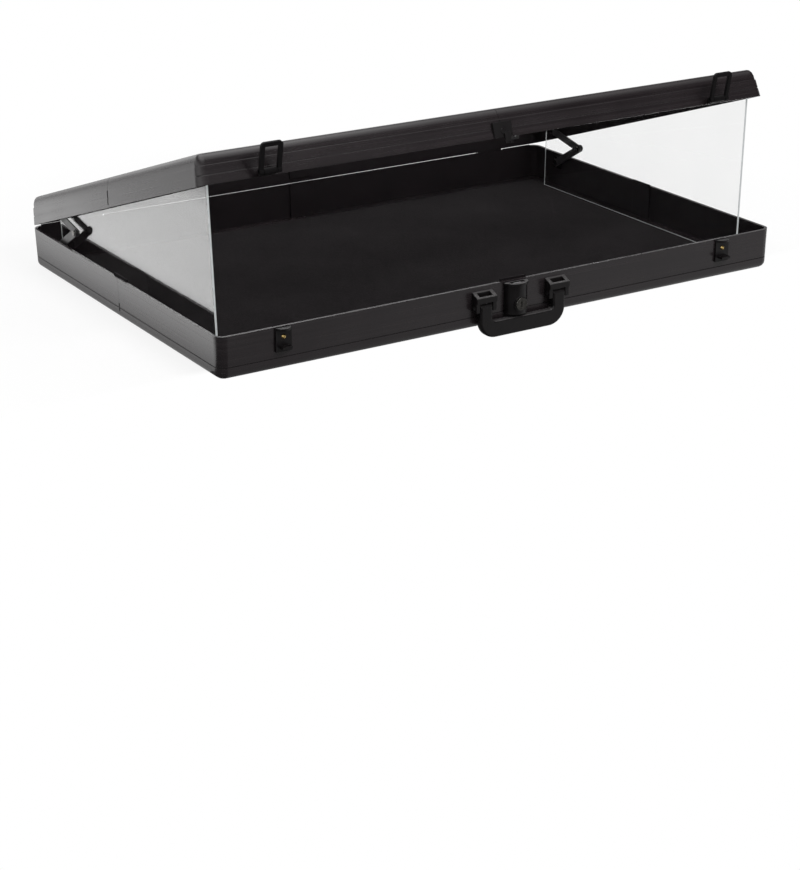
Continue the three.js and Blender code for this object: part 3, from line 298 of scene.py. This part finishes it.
def dress(names, material, edge, segments=PLAIN_ROUNDING):
    for name in names:
        piece = nodes[name]
        piece.data.materials.clear()
        piece.data.materials.append(material)
        piece.data.polygons.foreach_set("material_index", [0] * len(piece.data.polygons))
        piece.data.polygons.foreach_set("use_smooth", [True] * len(piece.data.polygons))
        weld = piece.modifiers.new("weld", "WELD")
        weld.merge_threshold = SAME_POINT
        flat = piece.modifiers.new("flat", "DECIMATE")
        flat.decimate_type = "DISSOLVE"
        flat.angle_limit = math.radians(SAME_PLANE_ANGLE)
        rounding = piece.modifiers.new("rounding", "BEVEL")
        rounding.width = edge
        rounding.segments = segments
        rounding.limit_method = "ANGLE"
        rounding.angle_limit = math.radians(EDGE_ANGLE)
        shading = piece.modifiers.new("shading", "WEIGHTED_NORMAL")
        shading.keep_sharp = True


dress(corners("base"), base_black, MOULDED_EDGE)
dress(corners("lid"), lid_black, MOULDED_EDGE)
# The joiners sit inside the case and take the darker inner finish: painted shade
dress(joiners("base") + joiners("lid"), inner, THIN_EDGE)
dress(["bottom_panel"], board, HAIR_EDGE)
dress(["felt_lining"], felt, HAIR_EDGE)
dress(SHEETS, acrylic, THIN_EDGE)
dress(["carry_handle", "lock_housing", "lock_strike"], hardware_black, CAST_EDGE, FINE_ROUNDING)
dress(pair("handle_bracket"), hardware_black, BRACKET_EDGE, FINE_ROUNDING)
dress(pair("latch_catch"), hardware_black, LATCH_EDGE, FINE_ROUNDING)
dress(pair("latch_bracket"), bail_black, LATCH_EDGE, FINE_ROUNDING)
dress(pair("latch_bail"), bail_black, BAIL_EDGE, FINE_ROUNDING)
dress(pair("hinge_base_leaf") + pair("hinge_lid_leaf"), hardware_black, THIN_EDGE)
dress(pair("stay_lower_link") + pair("stay_upper_link"), coated_black, THIN_EDGE)
dress(pair("hinge_rivet") + pair("catch_rivet"), brass, THIN_EDGE, FINE_ROUNDING)
dress(["lock_cylinder"], gunmetal, CAST_EDGE, FINE_ROUNDING)
dress(pair("hinge_pin") + pair("lid_screw") + ["lock_bolt"], steel, HAIR_EDGE)
dress(pair("handle_pin") + pair("pane_clip"), coated_black, HAIR_EDGE)
dress(pair("stay_elbow_rivet") + pair("stay_base_pivot") + pair("stay_lid_pivot"), gunmetal, HAIR_EDGE)


# Second finishes: a face counts by the cosine of its tilt and by its place
LEVEL_FACE = 0.7
TOP_FACE = 0.6
BROAD_FACE = 0.9
INSIDE_WIDTH = 0.49
INSIDE_DEPTH = 0.485
REAR_WALL = 0.2835
GRIP_TOP = 0.012
OPENS_UPWARDS = 1
OPENS_DOWNWARDS = -1


def finish_faces(name, material, chosen):
    mesh = nodes[name].data
    mesh.materials.append(material)
    slot = len(mesh.materials) - 1
    for face in mesh.polygons:
        if chosen(face):
            face.material_index = slot


def inside_of_shell(tilt, opening):
    level = Matrix.Rotation(math.radians(tilt), 3, "X")

    def chosen(face):
        normal = level @ face.normal
        across = face.center.x / CASE_WIDTH
        along = face.center.y / CASE_DEPTH
        if abs(normal.z) > LEVEL_FACE:
            return normal.z * opening > 0 and abs(across) < INSIDE_WIDTH and abs(along) < INSIDE_DEPTH
        if abs(normal.x) > abs(normal.y):
            return normal.x * across < 0
        return normal.y * along < 0

    return chosen


def faces_up(face):
    return face.normal.z > TOP_FACE


# Matt insides of the mouldings with painted shade in their darker colour, a paler inside of the lid's
# front, and rivet tails inside the tray
for name in corners("base"):
    finish_faces(name, inner, inside_of_shell(0.0, OPENS_UPWARDS))
for name in corners("lid"):
    finish_faces(name, inner, inside_of_shell(LID_TILT, OPENS_DOWNWARDS))
# The inside of the lid's front takes the paler black: painted light falling on it from behind
for name in pair("lid_corner_front"):
    finish_faces(name, painted_light_black, lambda face: face.normal.y > LEVEL_FACE)
# Rivet tails inside the tray are darkened: painted shade
for name in pair("hinge_rivet"):
    finish_faces(name, inner, lambda face: face.center.y < REAR_WALL)

# Paler tops of the lock, the handle's brackets and its grip: painted highlight where light falls on them
for name in ["lock_housing"] + pair("handle_bracket"):
    finish_faces(name, painted_light_black, faces_up)
finish_faces("carry_handle", painted_light_black, lambda face: faces_up(face) and face.center.z < GRIP_TOP)

# Bright rim of the lock cylinder
nodes["lock_cylinder"].data.materials.append(nickel)
nodes["lock_cylinder"].modifiers["rounding"].material = 1

# Sawn edges of the acrylic, which lets light through, with their painted glow
for name in SHEETS:
    broad = max(nodes[name].data.polygons, key=lambda face: face.area).normal.copy()
    finish_faces(name, frosted_with_painted_glow, lambda face: abs(face.normal.dot(broad)) <= BROAD_FACE)
    nodes[name].visible_shadow = False


# Thin dark felt strip on the rear rim: a dark piece that paints shade into the bright gap under the lid
STRIP_FRONT = 0.2824
STRIP_REAR = 0.2856
STRIP_FOOT = 0.056
STRIP_TOP_LEFT = 0.05735
STRIP_TOP_RIGHT = 0.05695
STRIP_SOFT_EDGE = 0.0003
STRIP_STEP = 0.02
STRIP_LEAST_STEPS = 2
RIM_END = 0.418
HINGE_OUTER = 0.367
HINGE_INNER = 0.319


def strip_profile(top):
    shoulder = top - STRIP_SOFT_EDGE
    return [
        (STRIP_FRONT, STRIP_FOOT),
        (STRIP_REAR, STRIP_FOOT),
        (STRIP_REAR, shoulder),
        (STRIP_REAR - STRIP_SOFT_EDGE, top),
        (STRIP_FRONT + STRIP_SOFT_EDGE, top),
        (STRIP_FRONT, shoulder),
    ]


def strip_mesh(left, right):
    steps = max(STRIP_LEAST_STEPS, round((right - left) / STRIP_STEP))
    mesh = bmesh.new()
    rings = []
    for step in range(steps + 1):
        x = left + (right - left) * step / steps
        across = x / CASE_WIDTH + 0.5
        top = STRIP_TOP_LEFT + (STRIP_TOP_RIGHT - STRIP_TOP_LEFT) * across
        rings.append([mesh.verts.new((x, y, z)) for y, z in strip_profile(top)])
    count = len(rings[0])
    for ring, following in zip(rings, rings[1:]):
        for index in range(count):
            after = (index + 1) % count
            mesh.faces.new((ring[index], ring[after], following[after], following[index]))
    mesh.faces.new(rings[0][::-1])
    mesh.faces.new(rings[-1])
    bmesh.ops.recalc_face_normals(mesh, faces=mesh.faces)
    return mesh


def shade_strip(name, left, right):
    mesh = strip_mesh(left, right)
    data = bpy.data.meshes.new(name)
    mesh.to_mesh(data)
    mesh.free()
    data.materials.append(felt)
    piece = bpy.data.objects.new(name, data)
    bpy.context.scene.collection.objects.link(piece)
    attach(piece, "base")


shade_strip("shade_strip_left", -RIM_END, -HINGE_OUTER)
shade_strip("shade_strip_middle", -HINGE_INNER, HINGE_INNER)
shade_strip("shade_strip_right", HINGE_OUTER, RIM_END)


# Camera at the photograph's place; its lens and sensor are in millimetres
CAMERA_PLACE = (-1.53377, -2.50846, 0.91363)
CAMERA_AZIMUTH = -31.415
CAMERA_ELEVATION = 21.706
CAMERA_ROLL = -0.468
CAMERA_LENS = 90.125
CAMERA_SENSOR = 36
CAMERA_NEAR = 0.05
CAMERA_FAR = 50


def camera_axes():
    azimuth = math.radians(CAMERA_AZIMUTH)
    elevation = math.radians(CAMERA_ELEVATION)
    back = Vector((
        math.sin(azimuth) * math.cos(elevation),
        -math.cos(azimuth) * math.cos(elevation),
        math.sin(elevation),
    ))
    level = Vector((0, 0, 1)).cross(back).normalized()
    upright = back.cross(level)
    roll = math.radians(CAMERA_ROLL)
    right = math.cos(roll) * level + math.sin(roll) * upright
    return Matrix((right, back.cross(right), back)).transposed()


camera = bpy.data.objects.new("camera", bpy.data.cameras.new("camera"))
camera.data.sensor_width = CAMERA_SENSOR
camera.data.lens = CAMERA_LENS
camera.data.clip_start = CAMERA_NEAR
camera.data.clip_end = CAMERA_FAR
camera.location = CAMERA_PLACE
camera.rotation_mode = "QUATERNION"
camera.rotation_quaternion = camera_axes().to_quaternion()
bpy.context.scene.collection.objects.link(camera)
bpy.context.scene.camera = camera


# Helpers of the table and the room
def light_path(tree):
    node = tree.nodes.new("ShaderNodeLightPath")
    camera_ray, passing = node.outputs["Is Camera Ray"], node.outputs["Is Transmission Ray"]
    direct = calculate(tree, "MAXIMUM", camera_ray, passing)
    reflected = calculate(tree, "MINIMUM", node.outputs["Glossy Depth"], 1)
    scattered = calculate(tree, "MINIMUM", node.outputs["Diffuse Depth"], 1)
    unscattered = minus(tree, 1, scattered)
    mirrored = times(tree, reflected, unscattered)
    seen = times(tree, direct, minus(tree, unscattered, mirrored))
    return seen, mirrored


def mix_shaders(tree, factor, first, second):
    node = tree.nodes.new("ShaderNodeMixShader")
    tree.links.new(factor, node.inputs["Fac"])
    tree.links.new(first, node.inputs[1])
    tree.links.new(second, node.inputs[2])
    return node.outputs["Shader"]


def glow(tree, kind, strength):
    node = tree.nodes.new(kind)
    node.inputs["Color"].default_value = (1, 1, 1, 1)
    if isinstance(strength, (int, float)):
        node.inputs["Strength"].default_value = strength
    else:
        tree.links.new(strength, node.inputs["Strength"])
    return node.outputs[0]


def parts_of(tree, output):
    place = tree.nodes.new("ShaderNodeTexCoord")
    split = tree.nodes.new("ShaderNodeSeparateXYZ")
    tree.links.new(place.outputs[output], split.inputs["Vector"])
    return split.outputs["X"], split.outputs["Y"], split.outputs["Z"], place.outputs[output]


# Table, whose front edge lies under the case so that the handle hangs clear of it.
# It is white where it is seen, with the shadow near the case. Its brightness in reflections is low close
# beside the case, a painted shadow, and fades with the distances from the middle line and from the
# front.
TABLE_FRONT = -0.25
TABLE_TOP = -0.0003
TABLE_HALF_WIDTH = 4.0
TABLE_DEPTH = 5.0
TABLE_EDGE_REACH = 0.12
TABLE_COLOUR = (0.93, 0.93, 0.93, 1)
SHADOW_FADE = Fade(0.5, 0.8, 0.86, 1.0)
FRONT_EDGE_FADE = Fade(TABLE_FRONT, TABLE_FRONT + TABLE_EDGE_REACH, 1.0, 0.0)
BEHIND_DIAGONAL = Fade(-0.86, -0.74, 0.0, 1.0)
# Low close beside the case: painted shadow in the table's reflection
BESIDE_CASE = Fade(0.43, 0.515, 0.25, 1.8)
FURTHER_OUT = Fade(0.7, 0.77, 1.0, 0.47)
FURTHER_BACK = Fade(0.38, 0.46, 1.0, 0.92)
TABLE_LEAST = 0.25


def table_reflection(tree, x, y):
    beside = calculate(tree, "ABSOLUTE", x, 0)
    behind = faded(tree, minus(tree, y, beside), BEHIND_DIAGONAL)
    sideways = times(tree, faded(tree, beside, BESIDE_CASE), faded(tree, beside, FURTHER_OUT))
    rearward = times(tree, behind, faded(tree, y, FURTHER_BACK))
    return plus(tree, times(tree, sideways, rearward), TABLE_LEAST)


def table_material():
    material = bpy.data.materials.new("white_table")
    material.use_nodes = True
    material.cycles.emission_sampling = "NONE"
    tree = material.node_tree
    tree.nodes.clear()
    x, y, _, place = parts_of(tree, "Object")
    distance = tree.nodes.new("ShaderNodeVectorMath")
    distance.operation = "LENGTH"
    tree.links.new(place, distance.inputs[0])
    far = faded(tree, distance.outputs["Value"], SHADOW_FADE)
    white = calculate(tree, "MAXIMUM", far, faded(tree, y, FRONT_EDGE_FADE))
    matt = tree.nodes.new("ShaderNodeBsdfDiffuse")
    matt.inputs["Color"].default_value = TABLE_COLOUR
    seen, mirrored = light_path(tree)
    plain = glow(tree, "ShaderNodeEmission", 1)
    shown = mix_shaders(tree, times(tree, white, seen), matt.outputs["BSDF"], plain)
    reflected = glow(tree, "ShaderNodeEmission", table_reflection(tree, x, y))
    output = tree.nodes.new("ShaderNodeOutputMaterial")
    tree.links.new(mix_shaders(tree, mirrored, shown, reflected), output.inputs["Surface"])
    return material


table_mesh = bpy.data.meshes.new("table")
table_mesh.from_pydata(
    [
        (-TABLE_HALF_WIDTH, TABLE_FRONT, TABLE_TOP),
        (TABLE_HALF_WIDTH, TABLE_FRONT, TABLE_TOP),
        (TABLE_HALF_WIDTH, TABLE_FRONT + TABLE_DEPTH, TABLE_TOP),
        (-TABLE_HALF_WIDTH, TABLE_FRONT + TABLE_DEPTH, TABLE_TOP),
    ],
    [],
    [(0, 1, 2, 3)],
)
table = bpy.data.objects.new("table", table_mesh)
table.data.materials.append(table_material())
bpy.context.scene.collection.objects.link(table)


# Room: white where it is seen. In reflections it has a wall except at the right, a bright ceiling, a dim
# window behind the camera, a backdrop behind the case and a ground, which fade with the direction.
HORIZON = Fade(-0.05, 0.15, 0.0, 1.0)
WALL_BY_HEIGHT = Fade(0.38, 0.56, 0.9, 0.06)
WALL_ACROSS = Fade(0.33, 0.6, 1.3, 0.02)
CEILING_BY_HEIGHT = Fade(0.66, 0.86, 0.0, 2.0)
CEILING_ACROSS = Fade(0.33, 0.62, 1.0, 0.4)
WINDOW_ACROSS = Fade(-0.2, 0.0, 0.2, 0.0)
WINDOW_ALONG = Fade(-0.2, 0.0, 1.0, 0.0)
BACKDROP_ALONG = Fade(0.45, 0.75, 0.0, 0.5)
GROUND_ACROSS = Fade(0.3, 0.62, 0.1, 0.58)
ROOM_FILL = 0.4


def room_reflection(tree):
    x, y, z, _ = parts_of(tree, "Generated")
    wall = times(tree, faded(tree, z, WALL_BY_HEIGHT), faded(tree, x, WALL_ACROSS))
    ceiling = times(tree, faded(tree, z, CEILING_BY_HEIGHT), faded(tree, x, CEILING_ACROSS))
    window = times(tree, faded(tree, x, WINDOW_ACROSS), faded(tree, y, WINDOW_ALONG))
    backdrop = plus(tree, window, faded(tree, y, BACKDROP_ALONG))
    above = plus(tree, plus(tree, wall, ceiling), backdrop)
    upward = faded(tree, z, HORIZON)
    below = times(tree, faded(tree, x, GROUND_ACROSS), minus(tree, 1, upward))
    return plus(tree, times(tree, above, upward), below)


def set_world():
    world = bpy.data.worlds.new("studio")
    bpy.context.scene.world = world
    world.use_nodes = True
    world.cycles.sampling_method = "NONE"
    tree = world.node_tree
    tree.nodes.clear()
    seen, mirrored = light_path(tree)
    fill = glow(tree, "ShaderNodeBackground", ROOM_FILL)
    room = glow(tree, "ShaderNodeBackground", room_reflection(tree))
    lit = mix_shaders(tree, mirrored, fill, room)
    output = tree.nodes.new("ShaderNodeOutputWorld")
    result = mix_shaders(tree, seen, lit, glow(tree, "ShaderNodeBackground", 1))
    tree.links.new(result, output.inputs["Surface"])


set_world()


# Lamps, with their power in watts
CASE_FOOT = (0, 0, 0)
CASE_MIDDLE = (0, 0, 0.1)


def softbox(name, place, target, size, power, mirrored=False):
    lamp = bpy.data.lights.new(name, "AREA")
    lamp.shape = "RECTANGLE"
    lamp.size, lamp.size_y = size
    lamp.energy = power
    holder = bpy.data.objects.new(name, lamp)
    holder.location = place
    holder.rotation_mode = "QUATERNION"
    holder.rotation_quaternion = (Vector(target) - Vector(place)).to_track_quat("-Z", "Y")
    holder.visible_camera = False
    holder.visible_glossy = mirrored
    bpy.context.scene.collection.objects.link(holder)


softbox("top_light", (0, 0.3, 2.6), CASE_FOOT, size=(2.6, 2.0), power=16, mirrored=True)
softbox("key_light", (0.5, -2.3, 2.1), CASE_MIDDLE, size=(1.5, 0.8), power=55)
softbox("left_light", (-2.6, 0.6, 1.4), CASE_MIDDLE, size=(1.4, 1.4), power=14)

bpy.context.scene.view_settings.view_transform = "Standard"
